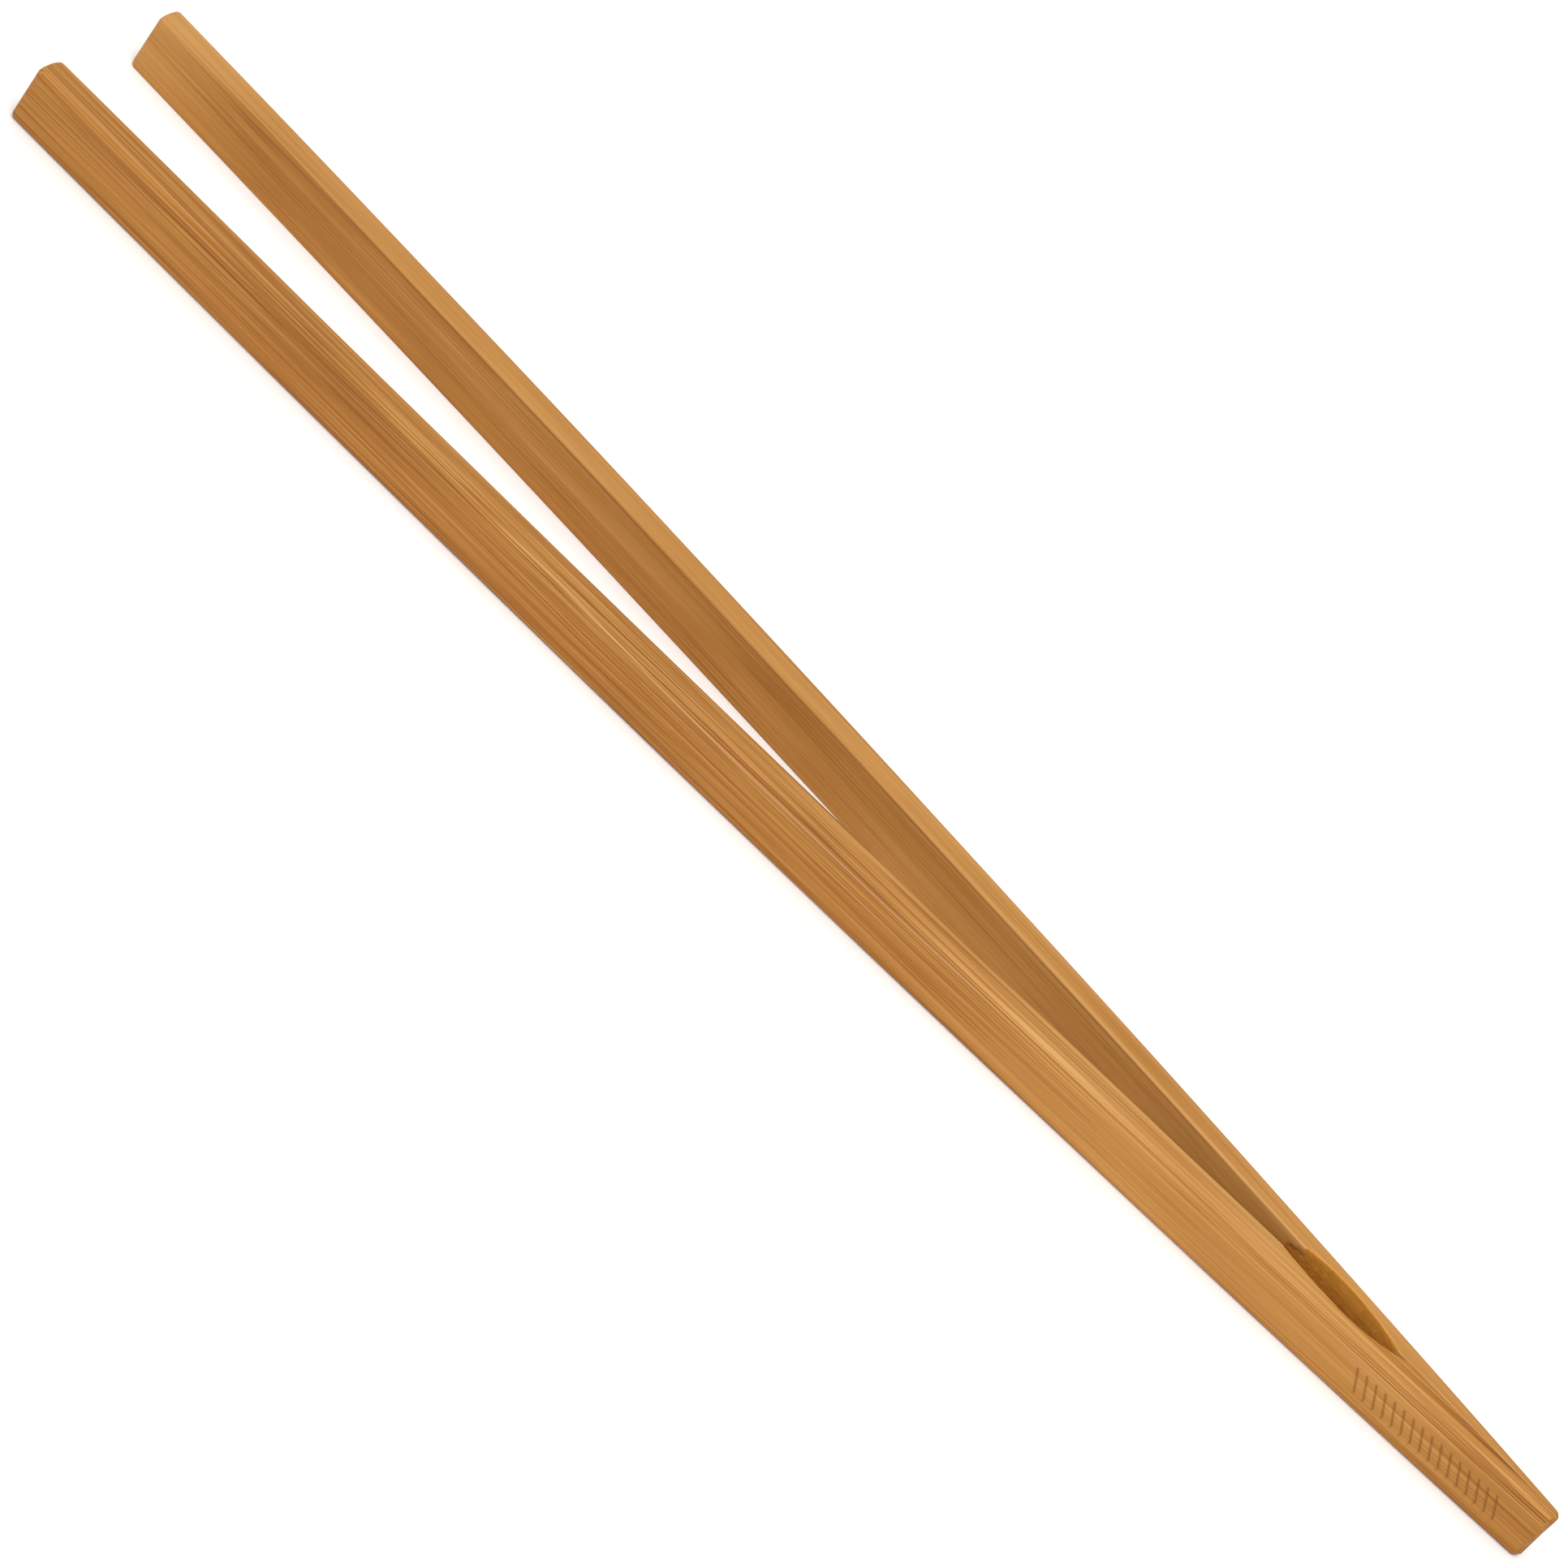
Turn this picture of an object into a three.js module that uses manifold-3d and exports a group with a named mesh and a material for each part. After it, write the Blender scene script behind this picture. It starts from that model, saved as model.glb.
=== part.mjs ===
// Bamboo print tongs: two long laths stand on their narrow edges, face to face, glued together at the
// heel. Just past the glue each lath is hollowed on its inner face, so it bends there like a leaf spring,
// and from there the two blades bow apart to the tips.
//
// Millimetres, +Z up. The tongs lie along X with their tips at -X and their heel at +X, and are centred
// on the middle plane y = 0. Plan shapes are written with s, the distance from the heel's end.
import * as THREE from 'three';
import { mergeVertices } from 'three/addons/utils/BufferGeometryUtils.js';
import Module from 'manifold-3d';

const wasm = await Module();
wasm.setup();

// Driving dimensions
const LENGTH = 305; // heel to tips
const WIDTH = 10.2; // a lath across its wide face, which is its height as the tongs lie
const HEEL_HALF = 1.25; // outer face from the middle plane at the heel's end
const TIP_OUTER = 18.4; // outer face from the middle plane at the tip
const OUTER_BOW = 3.08; // how far the outer face bows out from the line between its two ends
const TIP_INNER = 13.2; // inner face from the middle plane at the tip
const INNER_BOW = 1.7; // the same bow for the inner face
const EDGE_RADIUS = 0.9; // rounding of the two long outer edges
const END_RADIUS = 0.9; // rounding of a lath's corners at both ends, seen from the side
const JOINT_LENGTH = 31.2; // the stretch that is glued
const GLUE_HALF = 0.08; // half of the glue line's thickness
const SCOOP_RADIUS = 33; // radius of the drum that hollows the inner face
const SCOOP_CENTRE = 44.5; // where the hollow is deepest
const SCOOP_DEPTH = 2.8; // its deepest point from the middle plane
const HEEL_END = 33; // the heel block ends here
const BLADE_START = 54; // the blade starts here, and the thinned spring lies between
const NODE_GAP = 0.3; // space between the pieces of one lath
const MARGIN = 1; // how far a cutting shape stands clear of what it cuts

const LATH_BROWN = 0xa87438;
const BLADE_BROWN = 0xa06c33;
const SPRING_BROWN = 0x9c6a2c;
const GLUE_BROWN = 0x6e4520;

const HOLLOW_STEP = 1; // spacing of the points along the glued face and the hollow
const BLADE_STEP = 14; // spacing of the points along a blade's inner face
const SWEEP_STEPS = 30; // sections along a lath's outer face

// A gentle bow from one end height to the other, t going from 0 to 1.
function bowed(startY, endY, bow, t) {
  return startY + (endY - startY) * t + 4 * bow * t * (1 - t);
}

// Half the distance between the two outer faces.
function outerFace(s) {
  return bowed(HEEL_HALF, TIP_OUTER, OUTER_BOW, s / LENGTH);
}

// Half the distance between the two inner faces: the glue line, the drum's hollow, then the bowed blade.
function innerFace(s) {
  const drum = Math.sqrt(Math.max(SCOOP_RADIUS ** 2 - (s - SCOOP_CENTRE) ** 2, 0));
  const hollow = SCOOP_DEPTH - SCOOP_RADIUS + drum;
  const t = (s - JOINT_LENGTH) / (LENGTH - JOINT_LENGTH);
  const blade = t > 0 ? bowed(0, TIP_INNER, INNER_BOW, t) : 0;
  return Math.max(GLUE_HALF, hollow, blade);
}

function toX(s) {
  return LENGTH / 2 - s;
}

// The line of a lath's outer face, run a little past both ends.
class OuterLine extends THREE.Curve {
  getPoint(t, target = new THREE.Vector3()) {
    const s = -MARGIN + t * (LENGTH + 2 * MARGIN);
    return target.set(toX(s), outerFace(s), 0);
  }
}

function toSolid(geometry) {
  const bare = geometry.clone();
  bare.deleteAttribute('normal');
  bare.deleteAttribute('uv');
  const merged = mergeVertices(bare, 1e-5);
  const mesh = new wasm.Mesh({
    numProp: 3,
    vertProperties: new Float32Array(merged.attributes.position.array),
    triVerts: new Uint32Array(merged.index.array),
  });
  return new wasm.Manifold(mesh);
}

function toGeometry(solid) {
  const mesh = solid.getMesh();
  const geometry = new THREE.BufferGeometry();
  geometry.setAttribute('position', new THREE.BufferAttribute(mesh.vertProperties, 3));
  geometry.setIndex(new THREE.BufferAttribute(mesh.triVerts, 1));
  geometry.computeVertexNormals();
  return geometry;
}

// A lath's section carried along its outer face. Across the section, x is the lath's width and y is the
// depth below the outer face, where the two corners are rounded.
function sweptLath() {
  const half = WIDTH / 2;
  const depth = TIP_OUTER - TIP_INNER + 2 * MARGIN;
  const section = new THREE.Shape();
  section.moveTo(half, depth);
  section.lineTo(-half, depth);
  section.lineTo(-half, EDGE_RADIUS);
  section.absarc(EDGE_RADIUS - half, EDGE_RADIUS, EDGE_RADIUS, Math.PI, 1.5 * Math.PI);
  section.absarc(half - EDGE_RADIUS, EDGE_RADIUS, EDGE_RADIUS, 1.5 * Math.PI, 2 * Math.PI);
  const geometry = new THREE.ExtrudeGeometry(section, {
    curveSegments: 5,
    steps: SWEEP_STEPS,
    extrudePath: new OuterLine(),
  });
  return toSolid(geometry);
}

// A lath's outline from the side: a long rectangle with four rounded corners.
function sideBlock() {
  const x = LENGTH / 2 - END_RADIUS;
  const z = WIDTH / 2 - END_RADIUS;
  const outline = new THREE.Shape();
  outline.absarc(x, z, END_RADIUS, 0, 0.5 * Math.PI);
  outline.absarc(-x, z, END_RADIUS, 0.5 * Math.PI, Math.PI);
  outline.absarc(-x, -z, END_RADIUS, Math.PI, 1.5 * Math.PI);
  outline.absarc(x, -z, END_RADIUS, 1.5 * Math.PI, 2 * Math.PI);
  const depth = TIP_OUTER + 2 * MARGIN;
  const geometry = new THREE.ExtrudeGeometry(outline, { curveSegments: 5, depth, bevelEnabled: false });
  geometry.rotateX(Math.PI / 2);
  geometry.translate(0, TIP_OUTER + MARGIN, 0);
  return toSolid(geometry);
}

// The plan of one stretch of a lath, open on its outer side, where the swept section gives the shape.
function planBlock(start, end, spacing) {
  const steps = Math.round((end - start) / spacing);
  const plan = new THREE.Shape();
  plan.moveTo(toX(start), outerFace(start) + MARGIN);
  for (let i = 0; i <= steps; i += 1) {
    const s = start + ((end - start) * i) / steps;
    plan.lineTo(toX(s), innerFace(s));
  }
  plan.lineTo(toX(end), outerFace(end) + MARGIN);
  const height = WIDTH + 2 * MARGIN;
  const geometry = new THREE.ExtrudeGeometry(plan, { depth: height, bevelEnabled: false });
  geometry.translate(0, 0, -height / 2);
  return toSolid(geometry);
}

function material(color, roughness) {
  return new THREE.MeshStandardMaterial({ color, roughness, metalness: 0 });
}

const tongs = new THREE.Group();
tongs.name = 'print_tongs';
tongs.position.z = WIDTH / 2;

const side = sideBlock();
const lath = sweptLath().intersect(side);
const springStart = HEEL_END + NODE_GAP;
const springEnd = BLADE_START - NODE_GAP;
const stretches = [
  { name: 'heel', start: 0, end: HEEL_END, spacing: HOLLOW_STEP, color: LATH_BROWN },
  { name: 'flexure', start: springStart, end: springEnd, spacing: HOLLOW_STEP, color: SPRING_BROWN },
  { name: 'blade', start: BLADE_START, end: LENGTH, spacing: BLADE_STEP, color: BLADE_BROWN },
];

// The front arm is the same lath as the back arm, turned over about the tongs' long axis.
for (const arm of ['front', 'back']) {
  const turned = new THREE.Group();
  turned.rotation.x = arm === 'front' ? Math.PI : 0;
  for (const { name, start, end, spacing, color } of stretches) {
    const solid = lath.intersect(planBlock(start, end, spacing));
    const mesh = new THREE.Mesh(toGeometry(solid), material(color, 0.6));
    mesh.name = `${arm}_arm_${name}`;
    turned.add(mesh);
  }
  tongs.add(turned);
}

// The glue fills the seam up to just short of the hollow, and ends flush with the laths.
const glueLength = JOINT_LENGTH - NODE_GAP;
const glueBox = new THREE.BoxGeometry(glueLength, 2 * GLUE_HALF, WIDTH);
glueBox.translate(toX(glueLength / 2), 0, 0);
const glueSolid = toSolid(glueBox).intersect(side);
const glueLine = new THREE.Mesh(toGeometry(glueSolid), material(GLUE_BROWN, 0.5));
glueLine.name = 'glue_line';
tongs.add(glueLine);

export default tongs;
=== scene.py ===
# %% [markdown]
# # Bamboo print tongs
#
# Two long bamboo laths stand on their narrow edges and are glued face to face at the heel. Past the glue
# each lath is hollowed on its inner face, so it bends there like a leaf spring. The CAD frame holds each
# lath as three solids, heel, flexure and blade, because a rigid body can't bend. Here each lath is one
# piece again.

# %% Load the frame
from math import cos, radians, sin

import bmesh
import bpy
import numpy as np
from mathutils import Matrix, Vector


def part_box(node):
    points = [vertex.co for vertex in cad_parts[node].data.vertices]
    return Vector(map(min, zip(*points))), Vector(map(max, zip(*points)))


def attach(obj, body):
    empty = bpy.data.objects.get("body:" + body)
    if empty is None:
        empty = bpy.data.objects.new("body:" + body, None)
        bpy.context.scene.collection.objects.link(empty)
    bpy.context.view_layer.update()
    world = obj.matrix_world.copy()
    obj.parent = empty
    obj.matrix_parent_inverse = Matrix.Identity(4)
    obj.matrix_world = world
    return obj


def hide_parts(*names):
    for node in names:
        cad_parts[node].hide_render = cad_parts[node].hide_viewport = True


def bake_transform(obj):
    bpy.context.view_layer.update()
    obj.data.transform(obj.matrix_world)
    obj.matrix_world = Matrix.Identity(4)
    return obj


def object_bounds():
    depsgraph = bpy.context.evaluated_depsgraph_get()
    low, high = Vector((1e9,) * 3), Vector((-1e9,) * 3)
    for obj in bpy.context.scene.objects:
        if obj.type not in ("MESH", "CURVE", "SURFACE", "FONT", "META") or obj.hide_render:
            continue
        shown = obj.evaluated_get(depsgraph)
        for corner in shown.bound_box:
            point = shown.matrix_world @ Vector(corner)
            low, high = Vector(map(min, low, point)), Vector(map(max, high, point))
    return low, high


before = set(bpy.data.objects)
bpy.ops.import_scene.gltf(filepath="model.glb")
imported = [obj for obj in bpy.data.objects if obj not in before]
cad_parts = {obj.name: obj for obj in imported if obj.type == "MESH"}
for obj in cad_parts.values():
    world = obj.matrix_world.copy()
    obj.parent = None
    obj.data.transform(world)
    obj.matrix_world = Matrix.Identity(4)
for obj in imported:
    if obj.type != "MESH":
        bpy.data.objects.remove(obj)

MM = 0.001
cad_low, cad_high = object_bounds()
LENGTH = cad_high.x - cad_low.x
WIDTH = cad_high.z - cad_low.z
TIP_OUTER = cad_high.y
print(f"tongs: {LENGTH / MM:.1f} mm long, {2 * TIP_OUTER / MM:.1f} mm across the tips")
print(f"each lath is {WIDTH / MM:.1f} mm wide")

# %% [markdown]
# ## Camera
#
# A slim thing fills a square picture best from corner to corner, so the camera is rolled until the tongs lie
# along the diagonal. It stands a metre away with a long lens, because a short lens close by would make the
# near heel look much thicker than the tips. It could be aimed with a Track To constraint, but the roll is
# easier to see in the three vectors that a camera's matrix is made of: right, up and back.

# %% Camera
AIM = Vector((-1.5, -3.3, 5.1)) * MM
AZIMUTH = radians(9.25)
ELEVATION = radians(35.0)
ROLL = radians(40.3)
DISTANCE = 1.011
LENS = 159.0
SENSOR = 36


def add_camera():
    back = Vector((sin(AZIMUTH) * cos(ELEVATION), -cos(AZIMUTH) * cos(ELEVATION), sin(ELEVATION)))
    level_right = Vector((cos(AZIMUTH), sin(AZIMUTH), 0))
    level_up = back.cross(level_right)
    right = level_right * cos(ROLL) + level_up * sin(ROLL)
    up = level_up * cos(ROLL) - level_right * sin(ROLL)
    data = bpy.data.cameras.new("camera")
    data.lens = LENS
    data.sensor_width = SENSOR
    camera = bpy.data.objects.new("camera", data)
    turn = Matrix((right, up, back)).transposed().to_4x4()
    camera.matrix_world = Matrix.Translation(AIM + back * DISTANCE) @ turn
    bpy.context.collection.objects.link(camera)
    bpy.context.scene.camera = camera
    return camera


print("camera at", [round(x, 3) for x in add_camera().matrix_world.translation])

# %% [markdown]
# ## Plan of a lath
#
# All the shape of a lath is in its plan: an outer face that bows gently from heel to tip, and an inner face
# that is flat where it is glued, dips into the hollow that a sanding drum left, and then bows away. Both are
# plain formulas of s, the distance from the heel's end, so every later step can ask for a face's place at
# any point. The two hollows differ a little, as hand work does, and the drum left a fine ripple in both.

# %% Plan of a lath
HEEL_HALF = 1.25 * MM
OUTER_BOW = 3.08 * MM
TIP_INNER = 13.2 * MM
INNER_BOW = 1.7 * MM
JOINT_LENGTH = 31.2 * MM
GLUE_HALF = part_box("glue_line")[1][1]
RIPPLE_HEIGHT = 0.025 * MM
RIPPLE_FINE = 0.31 * MM
RIPPLE_COARSE = 0.83 * MM
HOLLOWS = {
    "front": {"centre": 43 * MM, "depth": 2.85 * MM, "heel_radius": 27 * MM, "tip_radius": 70 * MM},
    "back": {"centre": 45.5 * MM, "depth": 2.8 * MM, "heel_radius": 31 * MM, "tip_radius": 32 * MM},
}


def smooth(low, high, value):
    """0 at low and 1 at high, with an easy start and stop. Low may be the larger one."""
    t = np.clip((value - low) / (high - low), 0, 1)
    return t * t * (3 - 2 * t)


def bowed(start, end, bow, t):
    """A line from start to end that stands off by bow at its middle."""
    return start + (end - start) * t + 4 * bow * t * (1 - t)


def outer_face(s):
    return bowed(HEEL_HALF, TIP_OUTER, OUTER_BOW, s / LENGTH)


def blade_face(s):
    t = np.maximum((s - JOINT_LENGTH) / (LENGTH - JOINT_LENGTH), 0)
    return bowed(0, TIP_INNER, INNER_BOW, t)


def flat_face(s):
    """The inner face before the hollow is cut into it."""
    return np.maximum(blade_face(s), GLUE_HALF)


def hollow_face(arm, s):
    """The drum's own surface: an arc on the heel side and a longer one on the tip side."""
    hollow = HOLLOWS[arm]
    radius = np.where(s < hollow["centre"], hollow["heel_radius"], hollow["tip_radius"])
    run = np.minimum(np.abs(s - hollow["centre"]), radius)
    ripple = RIPPLE_HEIGHT * (np.sin(s / RIPPLE_FINE) + np.sin(s / RIPPLE_COARSE))
    return hollow["depth"] - radius + np.sqrt(radius**2 - run**2) + ripple


for arm, hollow in HOLLOWS.items():
    wood = outer_face(hollow["centre"]) - hollow_face(arm, hollow["centre"])
    print(f"{arm} lath is {wood / MM:.2f} mm thick at the middle of its hollow")

# %% [markdown]
# The back hollow ends in a small torn step, because the drum lifted fibres there. The step crosses the lath
# on a slant: near the top edge the hollow stops sooner, and a tongue of uncut face reaches into it.

# %% Torn step
STEP_TOP = 52.6 * MM
STEP_LOW = 55.3 * MM
STEP_HEIGHT = 0.3 * MM
STEP_SOFTNESS = 0.15 * MM
TONGUE_LENGTH = 0.7 * MM
TONGUE_HALF = 0.3 * MM
TONGUE_DOWN = 1.25 * MM


def step_place(z):
    """How far from the heel's end the back hollow stops, at height z."""
    turn = smooth(WIDTH - 1.7 * MM, WIDTH - 1.0 * MM, z)
    tongue = np.exp(-(((z - WIDTH + TONGUE_DOWN) / TONGUE_HALF) ** 2))
    return STEP_LOW + (STEP_TOP - STEP_LOW) * turn - TONGUE_LENGTH * tongue


def inner_face(arm, s, z):
    face = flat_face(s)
    cut = hollow_face(arm, s)
    if arm == "front":
        return np.maximum(face, cut)
    stop = step_place(z)
    in_hollow = 1 - smooth(stop - STEP_SOFTNESS, stop + STEP_SOFTNESS, s)
    past_middle = smooth(47 * MM, 52 * MM, s)
    cut = np.maximum(cut, face + STEP_HEIGHT * past_middle)
    return face + np.maximum(cut - face, 0) * in_hollow


print(f"step {STEP_HEIGHT / MM:.1f} mm high, {STEP_TOP / MM:.1f} to {STEP_LOW / MM:.1f} mm from the end")

# %% [markdown]
# ## Stations
#
# A mesh needs many cuts where its shape changes quickly and few elsewhere. Each lath gets a list of stations
# along its length and rows across its width, closer together in the hollow and under the engraved band. The
# block below is cut evenly, which one operator call does, and its cuts are then slid to these places.

# %% Stations
END_CLEAR = 1.4 * MM


def stations(length, usual, zones):
    """Places with the usual gap between them, and a zone's own gap inside each zone."""
    places = [END_CLEAR]
    while places[-1] < length - END_CLEAR:
        gap = min([usual] + [fine for start, end, fine in zones if start <= places[-1] < end])
        places.append(places[-1] + gap)
    places[-1] = length - END_CLEAR
    return np.array(places)


BAND_START = 4.5 * MM
BAND_END = 36.5 * MM
BAND_LOW = 2.7 * MM
BAND_HIGH = 6.3 * MM
HOLLOW_START = 29 * MM
HOLLOW_END = 60 * MM
USUAL_ALONG = 2.5 * MM
USUAL_ACROSS = 0.7 * MM
ZONES_ALONG = {
    "front": [(HOLLOW_START, HOLLOW_END, 0.4 * MM), (BAND_START - MM, BAND_END + MM, 0.13 * MM)],
    "back": [(0, HOLLOW_START, 1 * MM), (HOLLOW_START, HOLLOW_END, 0.25 * MM)],
}
ZONES_ACROSS = {
    "front": [(BAND_LOW - 0.3 * MM, BAND_HIGH + 0.3 * MM, 0.12 * MM)],
    "back": [(WIDTH - 2.4 * MM, WIDTH, 0.2 * MM)],
}
LENGTH_STATIONS = {arm: stations(LENGTH, USUAL_ALONG, zones) for arm, zones in ZONES_ALONG.items()}
WIDTH_ROWS = {arm: stations(WIDTH, USUAL_ACROSS, zones) for arm, zones in ZONES_ACROSS.items()}
for arm, places in LENGTH_STATIONS.items():
    print(f"{arm} lath: {len(places)} stations along, {len(WIDTH_ROWS[arm])} rows across")

# %% [markdown]
# ## Lath block
#
# The lath starts as a straight bar. A weighted bevel rounds it the way sandpaper does: the two outer edges
# most, the end corners nearly as much, and the inner edges barely, because they were left crisp. Beveling
# the plain bar first and cutting it afterwards keeps the corners clean. A bevel on the finished bent lath
# would run over its own small faces.

# %% Lath block
EDGE_RADIUS = 0.9 * MM
CRISP_RADIUS = 0.2 * MM
INNER_END_RADIUS = 0.6 * MM
BLOCK_DEPTH = 5.2 * MM
BEVEL_SEGMENTS = 6
ALONG, THROUGH, ACROSS = range(3)


def edge_radius(edge):
    """How much sandpaper took off this edge."""
    middle = (edge.verts[0].co + edge.verts[1].co) / 2
    direction = edge.verts[1].co - edge.verts[0].co
    outer = middle[THROUGH] < 0.1 * BLOCK_DEPTH
    if abs(direction[ALONG]) > 0:
        return EDGE_RADIUS if outer else CRISP_RADIUS
    if abs(direction[THROUGH]) > 0:
        return EDGE_RADIUS
    return INNER_END_RADIUS


def applied(piece):
    """The piece's mesh with its modifiers applied."""
    graph = bpy.context.evaluated_depsgraph_get()
    mesh = bpy.data.meshes.new_from_object(piece.evaluated_get(graph))
    bpy.data.objects.remove(piece)
    return mesh


def rounded_bar():
    bar = bmesh.new()
    bmesh.ops.create_cube(bar, size=1)
    size = Vector((LENGTH, BLOCK_DEPTH, WIDTH))
    bmesh.ops.scale(bar, vec=size, verts=bar.verts)
    bmesh.ops.translate(bar, vec=size / 2, verts=bar.verts)
    weight = bar.edges.layers.float.new("bevel_weight_edge")
    for edge in bar.edges:
        edge[weight] = edge_radius(edge) / EDGE_RADIUS
    mesh = bpy.data.meshes.new("bar")
    bar.to_mesh(mesh)
    bar.free()
    piece = bpy.data.objects.new("bar", mesh)
    bpy.context.collection.objects.link(piece)
    rounding = piece.modifiers.new("rounding", "BEVEL")
    rounding.limit_method = "WEIGHT"
    rounding.width = EDGE_RADIUS
    rounding.segments = BEVEL_SEGMENTS
    return applied(piece)


print(f"edges rounded to {EDGE_RADIUS / MM:.1f} mm outside and {CRISP_RADIUS / MM:.1f} mm inside")

# %% [markdown]
# The bar is then cut into rings, so that there is something to bend. One operator call cuts every long edge
# that runs one way. The cuts are even here, and slide to their stations when the lath is shaped.

# %% Cuts in the bar
THROUGH_CUTS = 5


def cut_loops(bar, direction, cuts):
    """Cuts every long edge along one direction, which runs loops round the bar."""
    least = 0.5 * (LENGTH, BLOCK_DEPTH, WIDTH)[direction]
    long_edges = []
    for edge in bar.edges:
        run = edge.verts[1].co - edge.verts[0].co
        if abs(run[direction]) > least:
            long_edges.append(edge)
    bmesh.ops.subdivide_edges(bar, edges=long_edges, cuts=cuts, use_grid_fill=True)


def lath_block(arm):
    """The rounded bar with all its cuts, still straight."""
    bar = bmesh.new()
    bar.from_mesh(rounded_bar())
    cut_loops(bar, ALONG, len(LENGTH_STATIONS[arm]) - 2)
    cut_loops(bar, ACROSS, len(WIDTH_ROWS[arm]) - 2)
    cut_loops(bar, THROUGH, THROUGH_CUTS)
    return bar


print(f"front bar: {len(LENGTH_STATIONS['front']) * len(WIDTH_ROWS['front'])} points on its outer face")

# %% [markdown]
# ## Engraved band
#
# The front lath carries a plain band of slanted strokes near the heel, burnt in by a laser: shallow grooves
# with darker wood in them. It is cut into the mesh, not only painted, so it catches the light. A boolean
# could cut it too, but it would leave long thin triangles on the face.

# %% Engraved band
STROKE_PITCH = 1.8 * MM
STROKE_HALF = 0.2 * MM
STROKE_SLANT = 0.55
GROOVE_DEPTH = 0.13 * MM
STROKE_END = 0.1 * MM


def engraving(s, z):
    """How deep the engraving is, from 0 to 1."""
    slid = s - STROKE_SLANT * (z - BAND_LOW)
    nearest = np.round((slid - BAND_START) / STROKE_PITCH)
    off = np.abs(slid - BAND_START - nearest * STROKE_PITCH)
    stroke = 1 - smooth(0.4 * STROKE_HALF, 1.5 * STROKE_HALF, off)
    inside_z = smooth(BAND_LOW - STROKE_END, BAND_LOW + STROKE_END, z)
    inside_z *= 1 - smooth(BAND_HIGH - STROKE_END, BAND_HIGH + STROKE_END, z)
    last = (BAND_END - BAND_START - STROKE_SLANT * (BAND_HIGH - BAND_LOW)) / STROKE_PITCH
    inside_s = (nearest > 0) & (nearest < last)
    return stroke * inside_z * inside_s


print(f"about {int((BAND_END - BAND_START) / STROKE_PITCH) - 1} strokes")

# %% [markdown]
# ## Sanding
#
# Hand sanding leaves faces a few hundredths of a millimetre out of true, and a slow wave of that size makes
# the highlights on the edges wander as they do on real wood. It also leaves the ends a little out of square
# and pillowed towards their sides. Noise could do the same, but two sines are enough and always repeat.

# %% Sanding
WAVE = 0.035 * MM
LONG_WAVE = 23 * MM
SHORT_WAVE = 9.7 * MM
SHORT_SHARE = 0.6
OUT_OF_SQUARE = 0.3 * MM
END_BOW = 0.35 * MM
END_REACH = 12 * MM


def sanding_wave(s, phase):
    """How far sanding took a face down, so it is never above 0."""
    slow = np.sin(s / LONG_WAVE + phase) + SHORT_SHARE * np.sin(s / SHORT_WAVE + 2.3 * phase)
    highest = 1 + SHORT_SHARE
    return WAVE * (slow - highest) / highest


def end_recess(s, depth, z):
    """How far an end sits back from a square cut: at its lower corner most, and at its sides."""
    near_end = smooth(END_REACH, 0, np.minimum(s, LENGTH - s))
    off_middle = np.abs(2 * depth / BLOCK_DEPTH - 1)
    recess = OUT_OF_SQUARE * (1 - z / WIDTH) + END_BOW * off_middle**3
    return near_end * recess * np.where(s < LENGTH / 2, 1, -1)


print(f"ends out of square by {OUT_OF_SQUARE / MM:.1f} mm, faces out of true by {2 * WAVE / MM:.2f} mm")

# %% [markdown]
# ## Shade
#
# The tone of a lath is uneven, and light and shade are painted into the back one's tone too. The front one is
# paler round its spring, darker along its lower edge, and has a darker patch near its tip. The back one is
# paler at its tip, partly its own colour and partly painted light that the tip catches. It has painted light
# on its inner face near the root of its blade, where the front lath shades it, and painted shade low in its
# hollow.
# Upper edges are paler on both. Beside the seam, glue has soaked into the front lath's upper edge and turned
# it golden. These are slow changes in known places, so they are worked out for each point of the mesh and not
# left to a noise.

# %% Shade


def tone_and_painted_light(arm, s, depth, z):
    """How much paler the lath is than its mean: its own tone, and painted light and shade on the back lath.
    """
    upper_edge = smooth(WIDTH - 0.6 * MM, WIDTH - 0.1 * MM, z)
    if arm == "front":
        spring = smooth(135 * MM, 75 * MM, s) * smooth(2 * MM, 40 * MM, s)
        patch = np.exp(-(((s - 240 * MM) / (26 * MM)) ** 2)) * smooth(0.25 * WIDTH, 0.5 * WIDTH, z)
        patch *= smooth(1.5 * MM, 0.6 * MM, depth)
        low_edge = smooth(2.2 * MM, 0.6 * MM, z)
        middle = np.exp(-(((s - 185 * MM) / (30 * MM)) ** 2))
        return 0.13 * spring - 0.12 * patch - 0.05 * middle - 0.06 * low_edge + 0.05 * upper_edge
    # The back lath's tip is paler, partly its own colour and partly painted light that the tip catches.
    tip = smooth(LENGTH - 26 * MM, LENGTH - 3 * MM, s)
    inner = smooth(BLOCK_DEPTH - MM, BLOCK_DEPTH - 0.5 * MM, depth)
    # Painted light on the inner face near the blade's root, where the front lath shades it.
    painted_light_near_root = smooth(185 * MM, 75 * MM, s)
    # Painted shade low in the hollow, under the front lath's rim.
    painted_shade_in_hollow = smooth(WIDTH - 0.8 * MM, WIDTH - 3.4 * MM, z) * smooth(62 * MM, 56 * MM, s)
    return 0.12 * tip + 0.16 * inner * painted_light_near_root + 0.11 * upper_edge - 0.12 * inner * painted_shade_in_hollow


def glue_stain(s, depth, z):
    """How far glue has soaked into the upper edge beside the seam, from 0 to 1."""
    beside = smooth(0.02, 0.3, depth / BLOCK_DEPTH) * smooth(WIDTH - MM, WIDTH - 0.2 * MM, z)
    return beside * smooth(52 * MM, 36 * MM, s) * smooth(0, 10 * MM, s)


halfway = 0.5 * np.array([LENGTH, BLOCK_DEPTH, WIDTH])
print("shade halfway along:", [round(float(tone_and_painted_light(arm, *halfway)), 3) for arm in HOLLOWS])
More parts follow.
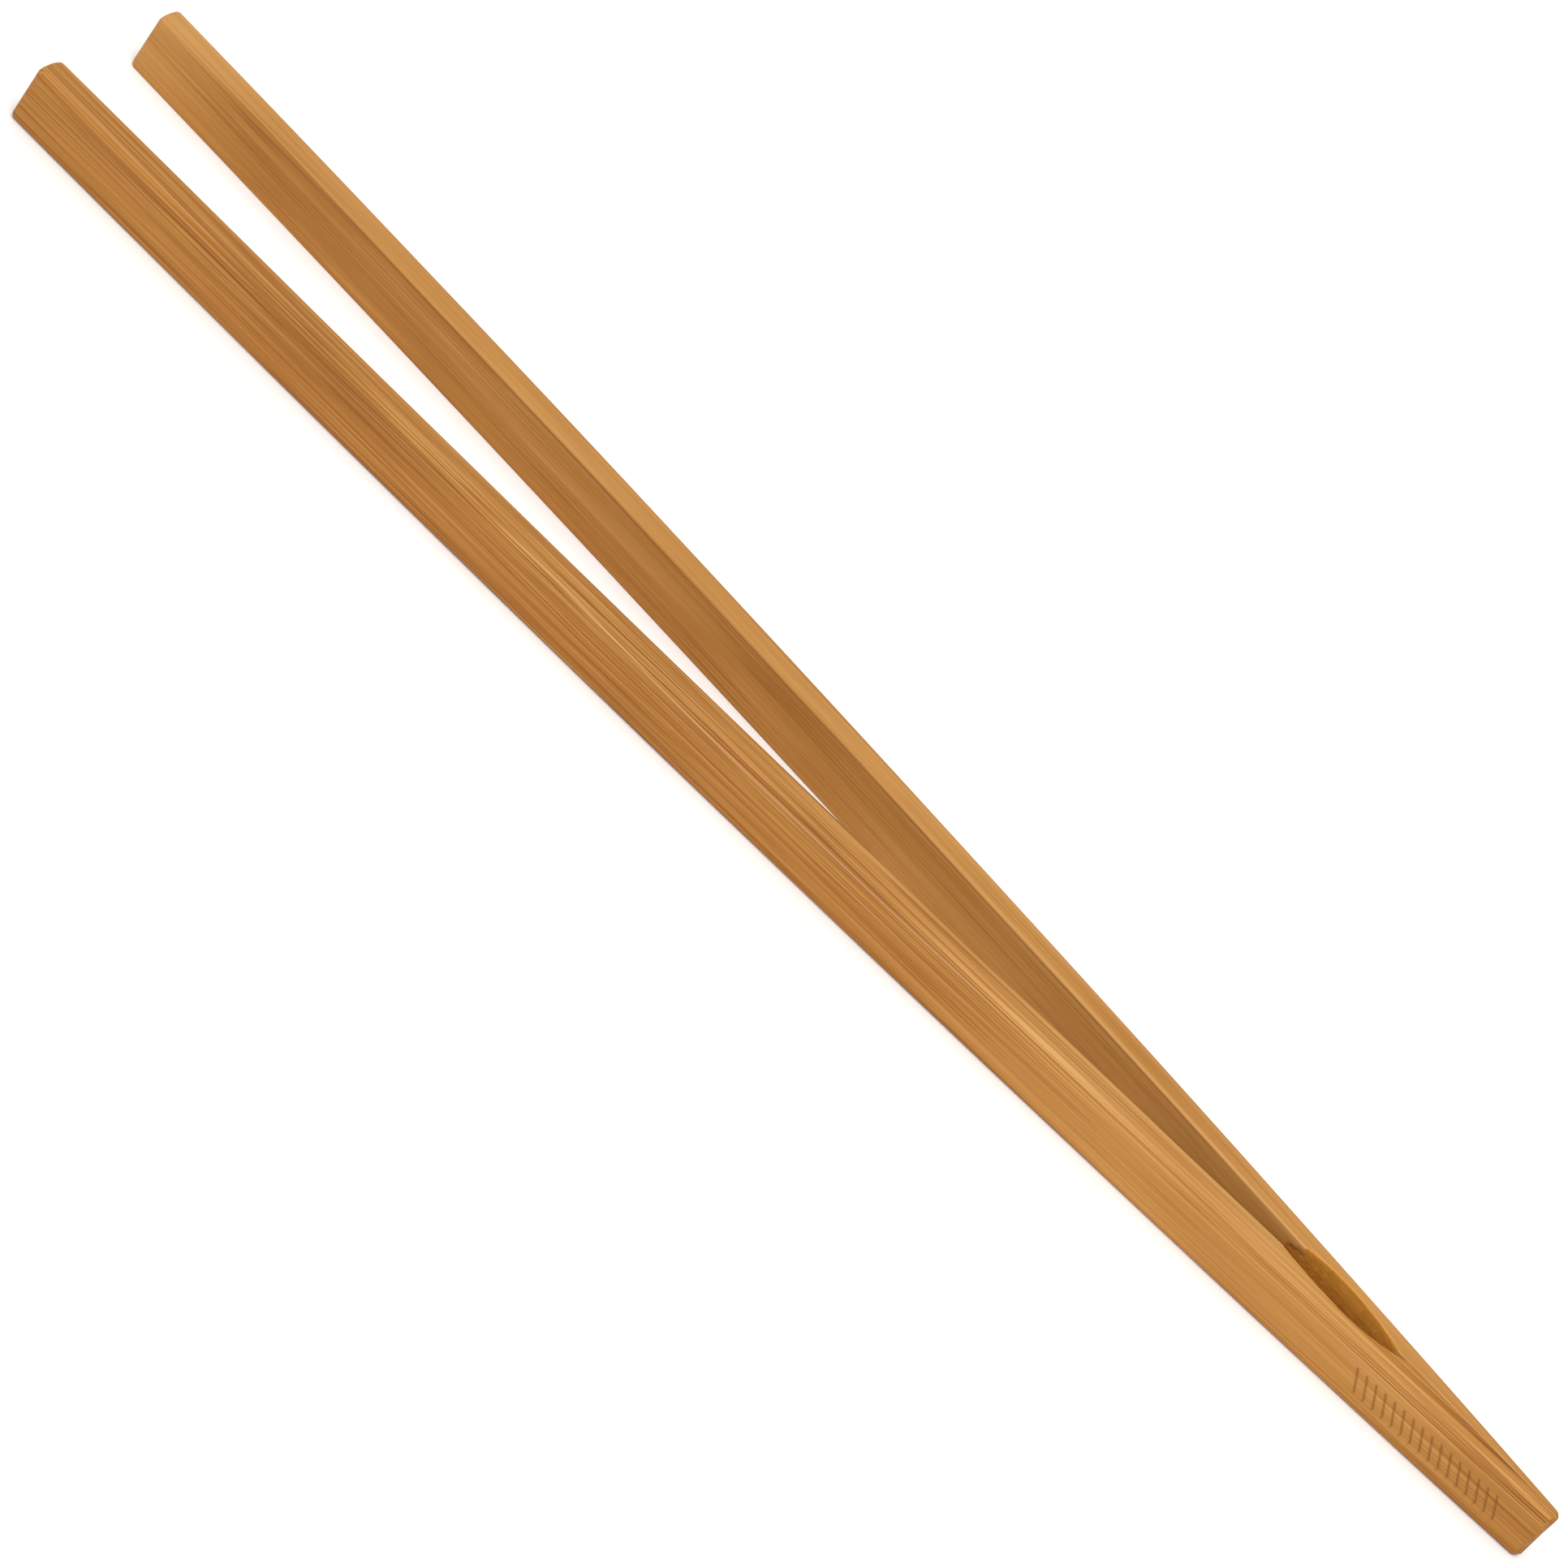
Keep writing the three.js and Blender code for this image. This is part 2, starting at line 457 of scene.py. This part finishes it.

# %% [markdown]
# ## Laths
#
# The straight block is now given its plan. Each vertex keeps its depth below the outer face while it is in
# the rounded edge, and its height above the inner face while it is in the crisp one, and what lies between
# is stretched. Three attributes go with the mesh, because the wood has to bend with the lath. "lath" holds
# millimetres along, into and across it, which the fibres follow. "through" runs from 0 on the outer face to
# 1 on the inner one. "marks" holds three strengths: painted shade in the hollows together with the golden
# glue stain, engraving, and tone with painted light and shade.

# %% Laths
WAVE_PHASES = {"front": (1.0, 2.0), "back": (4.0, 5.0)}
ON_OUTER = 0.01 * MM


def slide_cuts(value, places, length):
    """Moves evenly spaced cuts to the places listed."""
    even = np.linspace(places[0], places[-1], len(places))
    return np.interp(value, np.r_[0, even, length], np.r_[0, places, length])


def planned(s, depth, outer, inner):
    """How far from the middle plane a point of the block comes to lie."""
    crisp = CRISP_RADIUS * (0.3 + 0.7 * smooth(JOINT_LENGTH, JOINT_LENGTH + 2 * MM, s))
    above_inner = (BLOCK_DEPTH - depth) * crisp / CRISP_RADIUS
    middle = np.interp(depth, (EDGE_RADIUS, BLOCK_DEPTH - CRISP_RADIUS), (0, 1))
    body = (outer - EDGE_RADIUS) * (1 - middle) + (inner + crisp) * middle
    y = np.where(depth < EDGE_RADIUS, outer - depth, body)
    return np.where(depth > BLOCK_DEPTH - CRISP_RADIUS, inner + above_inner, y)


def marked(arm, s, depth, z, inner):
    """Painted hollow shade with glue stain, engraving, and tone with painted light, a column each."""
    marks = np.zeros((len(s), 3))
    on_inner = smooth(BLOCK_DEPTH - 2 * CRISP_RADIUS, BLOCK_DEPTH - 0.2 * CRISP_RADIUS, depth)
    # Painted shade and bounce light turn the hollows a deeper gold.
    marks[:, 0] = on_inner * smooth(0.02 * MM, 0.25 * MM, inner - flat_face(s))
    marks[:, 2] = tone_and_painted_light(arm, s, depth, z)
    if arm == "front":
        stain = glue_stain(s, depth, z)
        # The golden glue stain is a real stain and shares this column with the painted hollow shade.
        marks[:, 0] = np.maximum(marks[:, 0], 0.4 * stain)
        marks[:, 1] = engraving(s, z) * (depth < ON_OUTER)
        marks[:, 2] -= 0.1 * stain
    return marks


def store(mesh, name, kind, field, values):
    """Keeps values on the mesh's points, where a material can read them."""
    attribute = mesh.attributes.new(name, kind, "POINT")
    attribute.data.foreach_set(field, values.ravel())


print("gold beside the seam:", round(float(glue_stain(20 * MM, BLOCK_DEPTH, WIDTH)), 2))

# %% [markdown]
# Everything about a point is worked out on the plain block first, and its place is changed last. The engraved
# strokes and the sanding come off the planned surface, so the fibres inside stay where they were.

# %% Shaped laths


def shaped(arm, block):
    """The block's mesh with its plan, its attributes and its sanded, engraved surface."""
    mesh = bpy.data.meshes.new(f"{arm}_arm")
    block.to_mesh(mesh)
    block.free()
    place = np.empty(3 * len(mesh.vertices))
    mesh.vertices.foreach_get("co", place)
    s, depth, z = place.reshape(-1, 3).T
    s = slide_cuts(s, LENGTH_STATIONS[arm], LENGTH)
    z = slide_cuts(z, WIDTH_ROWS[arm], WIDTH)
    outer = outer_face(s)
    inner = inner_face(arm, s, z)
    y = planned(s, depth, outer, inner)
    marks = marked(arm, s, depth, z, inner)
    store(mesh, "lath", "FLOAT_VECTOR", "vector", np.stack([s, outer - y, z], 1) / MM)
    store(mesh, "through", "FLOAT", "value", depth / BLOCK_DEPTH)
    store(mesh, "marks", "FLOAT_VECTOR", "vector", marks)
    face_phase, edge_phase = WAVE_PHASES[arm]
    y_sanded = y + sanding_wave(s, face_phase) * smooth(2 * EDGE_RADIUS, 0, depth)
    y_cut = y_sanded - GROOVE_DEPTH * marks[:, 1]
    z_sanded = z + sanding_wave(s, edge_phase) * smooth(0.5 * WIDTH, WIDTH, z)
    side = -1 if arm == "front" else 1
    x = cad_high.x - s - end_recess(s, depth, z)
    place = np.stack([x, side * y_cut, cad_low.z + z_sanded], 1)
    mesh.vertices.foreach_set("co", place.ravel())
    return mesh


def lath(arm):
    """The finished lath as an object, with its faces outwards and smooth."""
    mesh = shaped(arm, lath_block(arm))
    skin = bmesh.new()
    skin.from_mesh(mesh)
    bmesh.ops.recalc_face_normals(skin, faces=skin.faces)
    for face in skin.faces:
        face.smooth = True
    skin.to_mesh(mesh)
    skin.free()
    piece = bpy.data.objects.new(f"{arm}_arm", mesh)
    bpy.context.collection.objects.link(piece)
    return piece


arms = {arm: lath(arm) for arm in ("front", "back")}
for arm, piece in arms.items():
    print(f"{arm} arm: {len(piece.data.polygons)} faces")

# %% [markdown]
# ## Glue line
#
# What shows of the glue is a dark hair line between the laths at the heel, just below their edges. It is a
# thin strip with softened edges, sunk by a tenth of a millimetre, as glue shrinks when it dries.

# %% Glue line
GLUE_SUNK = 0.12 * MM


def glue_line():
    low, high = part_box("glue_line")
    strip = bmesh.new()
    bmesh.ops.create_cube(strip, size=1)
    size = Vector([b - a for a, b in zip(low, high)])
    sunk = Vector((2 * GLUE_SUNK, 0, 2 * GLUE_SUNK))
    bmesh.ops.scale(strip, vec=size - sunk, verts=strip.verts)
    middle = Vector([(a + b) / 2 for a, b in zip(low, high)])
    bmesh.ops.translate(strip, vec=middle, verts=strip.verts)
    upright = []
    for edge in strip.edges:
        run = edge.verts[1].co - edge.verts[0].co
        if abs(run[THROUGH]) > 0:
            upright.append(edge)
    bmesh.ops.bevel(
        strip, geom=upright, offset=EDGE_RADIUS, segments=5, profile=0.5, affect="EDGES", material=-1
    )
    mesh = bpy.data.meshes.new("glue")
    strip.to_mesh(mesh)
    strip.free()
    piece = bpy.data.objects.new("glue", mesh)
    bpy.context.collection.objects.link(piece)
    return piece


glue = glue_line()
print(f"glue line {glue.dimensions.x / MM:.1f} by {glue.dimensions.y / MM:.2f} mm")

# %% [markdown]
# ## Carbonised bamboo
#
# Bamboo is a bundle of straight fibres in softer, paler tissue. Steaming it under pressure turns its sugars
# caramel brown right through, which is why the ends have the same colour as the faces. To the eye that gives
# long fine lines along each lath, closest together near the outer skin, slow patches of lighter and darker
# brown, and a satin surface from fine sanding. On an end face the same fibres are dots.
#
# An image of wood would show one face only. This material is a solid pattern instead: it is worked out in
# millimetres inside the lath, so each face, the hollow and the ends cut the same fibres.

# %% Material helpers


def linear(hex_colour):
    """An sRGB hex colour as the linear values that shaders use."""
    channels = [int(hex_colour[i : i + 2], 16) / 255 for i in (1, 3, 5)]
    curved = [c / 12.92 if c <= 0.04045 else ((c + 0.055) / 1.055) ** 2.4 for c in channels]
    return (*curved, 1.0)


def add_node(tree, kind, inputs=(), **settings):
    """Adds a node, gives it its settings, and links or sets its inputs, in order or by name.

    A node given as an input stands for its own first output.
    """
    node = tree.nodes.new(kind)
    for name, value in settings.items():
        setattr(node, name, value)
    for key, value in inputs.items() if isinstance(inputs, dict) else enumerate(inputs):
        if isinstance(value, bpy.types.Node):
            value = value.outputs[0]
        if isinstance(value, bpy.types.NodeSocket):
            tree.links.new(value, node.inputs[key])
        else:
            node.inputs[key].default_value = value
    return node


def set_stops(ramp, stops):
    """Gives a colour ramp its stops, from dark to pale."""
    while len(ramp.color_ramp.elements) < len(stops):
        ramp.color_ramp.elements.new(0.5)
    for element, (position, colour) in zip(ramp.color_ramp.elements, stops):
        element.position = position
        element.color = linear(colour)
    return ramp


def new_material(name):
    """A material with an empty node tree."""
    material = bpy.data.materials.new(name)
    material.use_nodes = True
    material.node_tree.nodes.clear()
    return material, material.node_tree


print("caramel brown, linear:", [round(channel, 3) for channel in linear("#aa7435")[:3]])

# %% [markdown]
# The fibres are noises pulled out along the lath. Each size below is one step of a pattern along, into and
# across the lath. Bundles of fibres in a bamboo wall are about half a millimetre across and run on past the
# lath's ends. Strands in them are a fifth of a millimetre, and the hairs and pores that sanding opens are
# finer still: they are drawn at 0.13 mm, a little coarser than real, because finer ones wouldn't show. A
# fibre is never dead straight, so the place that the noises read first wanders sideways by up to 0.4 mm.

# %% Fibre pattern
PATCH_MM = (45, 2.6, 3.4)
WANDER_MM = (90, 5, 5)
BAND_MM = (90, 0.8, 0.9)
BUNDLE_MM = (150, 0.6, 0.66)
STRAND_MM = (42, 0.21, 0.23)
HAIR_MM = (26, 0.13, 0.15)
SOFT = {"interpolation_type": "SMOOTHSTEP"}
TIMES = {"operation": "MULTIPLY"}
TIMES_PLUS = {"operation": "MULTIPLY_ADD"}


def pattern(tree, kind, place, size_mm, **inputs):
    """A texture pulled out so that one step of it is this long along, into and across the lath."""
    scale = [1 / size for size in size_mm]
    pulled = add_node(tree, "ShaderNodeMapping", {"Vector": place, "Scale": scale})
    return add_node(tree, kind, {"Vector": pulled, "Scale": 1.0, **inputs})


def wandering(tree, place):
    """The place in the lath, moved sideways a little and slowly."""
    wander = pattern(tree, "ShaderNodeTexNoise", place, WANDER_MM, Detail=1.0).outputs["Color"]
    centred = add_node(tree, "ShaderNodeVectorMath", (wander, (0.5, 0.5, 0.5)), operation="SUBTRACT")
    return add_node(tree, "ShaderNodeVectorMath", (centred, (0, 0.8, 0.8), place), **TIMES_PLUS)


def fibre_lines(tree, place, lines):
    """How much the fibres lighten or darken the wood, and the strands and pores that give it relief."""
    fibre_mm = wandering(tree, place)
    bands = pattern(tree, "ShaderNodeTexNoise", fibre_mm, BAND_MM, Detail=1.0)
    cells = pattern(tree, "ShaderNodeTexVoronoi", fibre_mm, BUNDLE_MM)
    strands = pattern(tree, "ShaderNodeTexNoise", fibre_mm, STRAND_MM, Detail=1.0, Roughness=0.4)
    hairs = pattern(tree, "ShaderNodeTexNoise", fibre_mm, HAIR_MM, Detail=1.0)
    bundles = add_node(tree, "ShaderNodeMapRange", (cells, 0.14, 0.36, 1.0, 0.0), **SOFT)
    pores = add_node(tree, "ShaderNodeMapRange", (hairs, 0.6, 0.7), **SOFT)
    gleams = add_node(tree, "ShaderNodeMapRange", (hairs, 0.4, 0.3), **SOFT)
    layers = ((bands, 0.20), (strands, 0.66), (bundles, -0.15), (pores, -0.2), (gleams, 0.18))
    total = -0.43 * lines
    for layer, weight in layers:
        total = add_node(tree, "ShaderNodeMath", (layer, weight * lines, total), **TIMES_PLUS)
    return total, strands, pores


def thread(tree, lath_mm, height, half_width, run, face):
    """One thin line along a face: 1 on it, fading to 0 beside it and past the ends of its run."""
    along, _, across = add_node(tree, "ShaderNodeSeparateXYZ", (lath_mm,)).outputs
    start, end = run
    off = add_node(tree, "ShaderNodeMath", (across, height), operation="SUBTRACT")
    off = add_node(tree, "ShaderNodeMath", (off,), operation="ABSOLUTE")
    inside, outside = 0.3 * half_width, 1.5 * half_width
    mask = add_node(tree, "ShaderNodeMapRange", (off, inside, outside, 1.0, 0.0), **SOFT)
    fade_in = add_node(tree, "ShaderNodeMapRange", (along, start, start + 22), **SOFT)
    fade_out = add_node(tree, "ShaderNodeMapRange", (along, end, end - 30), **SOFT)
    for limit in (face, fade_in, fade_out):
        mask = add_node(tree, "ShaderNodeMath", (mask, limit), **TIMES)
    return mask


print(f"strands {STRAND_MM[1]} mm across, hairs {HAIR_MM[1]} mm")

# %% [markdown]
# The pattern's strength picks a brown from a ramp of five. The hollows take a darker, deeper gold from a ramp
# of their own, which is painted shade and bounce light between the laths; the glue-stained edge takes the
# same ramp. The laser's strokes are a burnt brown. Each lath also has one line along it: a pale pink painted
# highlight on the front lath's outer face, rising onto its rounded upper edge, and a dark line just below the
# upper edge of the back lath's inner face. The front lath was split with the outer skin of the cane upwards,
# so its lines crowd towards its upper edge; the back one's are more even, and fainter.
# Varnish would add a clear coat, but this wood is only sanded, so a weak satin gloss is enough.

# %% Bamboo material
CANE_DARK = "#73451a"
CANE_DEEP = "#925a24"
CANE_BROWN = "#aa7435"
CANE_PALE = "#be894a"
CANE_LIGHT = "#cfa268"
CANE_STOPS = [(0.0, CANE_DARK), (0.3, CANE_DEEP), (0.5, CANE_BROWN), (0.7, CANE_PALE), (1.0, CANE_LIGHT)]
# Deeper gold for the painted shade and bounce light in the hollows, and for the glue stain.
PAINTED_SHADE_AND_STAIN_STOPS = [(0.2, "#82480b"), (0.8, "#ca8a30")]
BURNT_BROWN = "#78481c"
# Pink of the painted highlight near the front lath's upper edge.
PAINTED_HIGHLIGHT_PINK = "#cd9f79"
SATIN_SPECULAR = 0.15
RELIEF = 0.05 * MM


def paleness(tree, place, across, fibres, painted_shade_and_stain, shade, tone, skin_up):
    """How pale the wood is, from 0 to 1: its tone, slow patches, fibres and shade."""
    skin, pith = (1.45, 0.8) if skin_up else (1.3, 1.2)
    density = add_node(tree, "ShaderNodeMapRange", (across, 5.5, 9.8, pith, skin), **SOFT)
    density = add_node(tree, "ShaderNodeMath", (painted_shade_and_stain, 0.5, density), **TIMES_PLUS)
    density = add_node(tree, "ShaderNodeMath", (shade, -2.0, density), **TIMES_PLUS)
    patches = pattern(tree, "ShaderNodeTexNoise", place, PATCH_MM, Detail=2.0)
    total = add_node(tree, "ShaderNodeMath", (patches, 0.34, tone - 0.17), **TIMES_PLUS)
    total = add_node(tree, "ShaderNodeMath", (fibres, density, total), **TIMES_PLUS)
    return add_node(tree, "ShaderNodeMath", (shade, total), operation="ADD")


def layered(tree, colour, coats):
    """The colour with each coat laid over it: a mask, its strength and its own colour."""
    for mask, strength, coat in coats:
        factor = add_node(tree, "ShaderNodeMath", (mask, strength), **TIMES)
        mix = add_node(tree, "ShaderNodeMix", {0: factor, 6: colour, 7: coat}, data_type="RGBA")
        colour = mix.outputs[2]
    return colour


def painted_highlight_and_dark_line(tree, lath_mm, along, skin_up):
    """Mask, strength and colour of the lath's line: painted highlight on the front, dark line on the back."""
    through = add_node(tree, "ShaderNodeAttribute", attribute_name="through").outputs["Fac"]
    if skin_up:
        # A painted highlight along the front lath's rounded upper edge.
        face = add_node(tree, "ShaderNodeMapRange", (through, 0.3, 0.15), **SOFT)
        height = add_node(tree, "ShaderNodeMapRange", (along, 155, 205, 8.7, 9.9), **SOFT)
        return thread(tree, lath_mm, height, 0.17, (104, 215), face), 0.45, linear(PAINTED_HIGHLIGHT_PINK)
    # A dark line just below the back lath's upper edge, on its inner face.
    face = add_node(tree, "ShaderNodeMapRange", (through, 0.85, 0.95), **SOFT)
    return thread(tree, lath_mm, 9.72, 0.12, (58, 290), face), 0.55, linear(CANE_DARK)


def carbonised_bamboo(name, shift, lines, tone, skin_up):
    """shift picks a stretch of the pattern, lines is how strong the fibres are, tone is how pale it is."""
    material, tree = new_material(name)
    lath_mm = add_node(tree, "ShaderNodeAttribute", attribute_name="lath").outputs["Vector"]
    marks = add_node(tree, "ShaderNodeAttribute", attribute_name="marks").outputs["Vector"]
    along, _, across = add_node(tree, "ShaderNodeSeparateXYZ", (lath_mm,)).outputs
    painted_shade_and_stain, burn, shade = add_node(tree, "ShaderNodeSeparateXYZ", (marks,)).outputs
    place = add_node(tree, "ShaderNodeMapping", {"Vector": lath_mm, "Location": shift})
    fibres, strands, pores = fibre_lines(tree, place, lines)
    total = paleness(tree, place, across, fibres, painted_shade_and_stain, shade, tone, skin_up)
    cane = set_stops(add_node(tree, "ShaderNodeValToRGB", (total,)), CANE_STOPS)
    golden = set_stops(add_node(tree, "ShaderNodeValToRGB", (total,)), PAINTED_SHADE_AND_STAIN_STOPS)
    edge_line = painted_highlight_and_dark_line(tree, lath_mm, along, skin_up)
    # Coats: painted hollow shade with glue stain, engraving, and each lath's line.
    colour = layered(tree, cane, [(painted_shade_and_stain, 0.85, golden), (burn, 0.6, linear(BURNT_BROWN)), edge_line])
    relief = add_node(tree, "ShaderNodeMath", (pores, -0.6, strands), **TIMES_PLUS)
    bump = {"Height": relief, "Strength": 0.35, "Distance": RELIEF * lines}
    surface = {
        "Base Color": colour,
        "Roughness": add_node(tree, "ShaderNodeMapRange", (strands, 0.3, 0.7, 0.42, 0.56), **SOFT),
        "Specular IOR Level": SATIN_SPECULAR,
        "Normal": add_node(tree, "ShaderNodeBump", bump),
    }
    shader = add_node(tree, "ShaderNodeBsdfPrincipled", surface)
    add_node(tree, "ShaderNodeOutputMaterial", {"Surface": shader})
    return material


CANES = {
    "front": carbonised_bamboo("carbonised_bamboo_front", (0, 0, 0), lines=1.0, tone=0.47, skin_up=True),
    "back": carbonised_bamboo("carbonised_bamboo_back", (700, 40, 0), lines=0.45, tone=0.5, skin_up=False),
}
for arm, piece in arms.items():
    piece.data.materials.append(CANES[arm])
    print(f"{CANES[arm].name}: {len(CANES[arm].node_tree.nodes)} nodes")

# %% [markdown]
# ## Dried wood glue
#
# A white wood glue dries to a dull amber film and takes up sanding dust, so the seam reads as a darker line
# than the wood on either side. Its only variation is a faint clouding, 2.5 mm from cloud to cloud.

# %% Glue material
CLOUDS_PER_METRE = 400.0


def dried_glue():
    material, tree = new_material("dried_wood_glue")
    place = add_node(tree, "ShaderNodeTexCoord").outputs["Object"]
    cloudy = {"Vector": place, "Scale": CLOUDS_PER_METRE, "Detail": 2.0}
    clouds = add_node(tree, "ShaderNodeTexNoise", cloudy)
    amber = set_stops(add_node(tree, "ShaderNodeValToRGB", (clouds,)), [(0.0, "#70481c"), (1.0, "#9a682c")])
    shader = add_node(tree, "ShaderNodeBsdfPrincipled", {"Base Color": amber, "Roughness": 0.5})
    add_node(tree, "ShaderNodeOutputMaterial", {"Surface": shader})
    return material


glue.data.materials.append(dried_glue())
print(f"glue clouds {1 / CLOUDS_PER_METRE / MM:.1f} mm apart")

# %% [markdown]
# ## Floor and light
#
# The tongs lie on a pale floor with almost no shadow. The key light stands in front and lights the upright
# faces. A wide soft light right above makes the upper edges the brightest and keeps what shadow there is
# under the laths. A pale world fills in from all sides. One lamp alone would be simpler, but its shadow
# would be as dark as the wood.

# %% Floor and light
FLOOR_SIZE = 6.0


def floor():
    sheet = bmesh.new()
    bmesh.ops.create_grid(sheet, x_segments=1, y_segments=1, size=FLOOR_SIZE / 2)
    mesh = bpy.data.meshes.new("floor")
    sheet.to_mesh(mesh)
    sheet.free()
    piece = bpy.data.objects.new("floor", mesh)
    bpy.context.collection.objects.link(piece)
    material, tree = new_material("pale_floor")
    paint = {"Base Color": linear("#fcfcfb"), "Roughness": 0.8}
    shader = add_node(tree, "ShaderNodeBsdfPrincipled", paint)
    add_node(tree, "ShaderNodeOutputMaterial", {"Surface": shader})
    mesh.materials.append(material)
    return piece


def soft_light(name, place, size, watts):
    """A round area light at a place, turned towards the middle of the tongs."""
    data = bpy.data.lights.new(name, "AREA")
    data.shape = "DISK"
    data.size = size
    data.energy = watts
    light = bpy.data.objects.new(name, data)
    aim = Vector(place).to_track_quat("Z", "Y")
    light.matrix_world = Matrix.Translation(place) @ aim.to_matrix().to_4x4()
    bpy.context.collection.objects.link(light)
    return light


def pale_world(strength):
    world = bpy.data.worlds.new("pale_world")
    world.use_nodes = True
    background = world.node_tree.nodes["Background"]
    background.inputs["Color"].default_value = linear("#ffffff")
    background.inputs["Strength"].default_value = strength
    bpy.context.scene.world = world


floor()
lights = [
    soft_light("key", (0.12, -0.86, 1.02), size=1.2, watts=10.8),
    soft_light("overhead", (-0.1, 0.05, 1.3), size=1.4, watts=7.4),
]
pale_world(0.54)
bpy.context.scene.view_settings.view_transform = "Standard"
print("lights:", [(light.name, light.data.energy) for light in lights])

# %% [markdown]
# ## Riding on the frame
#
# Each lath keeps its place, with its transform baked into its mesh. The frame's heel, flexure and blade
# solids and its glue line are hidden, and the glue strip rides on the heel.

# %% Riding on the frame


for arm, piece in arms.items():
    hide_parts(f"{arm}_arm_heel", f"{arm}_arm_flexure", f"{arm}_arm_blade")
    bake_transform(piece)
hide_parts("glue_line")
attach(glue, "heel")
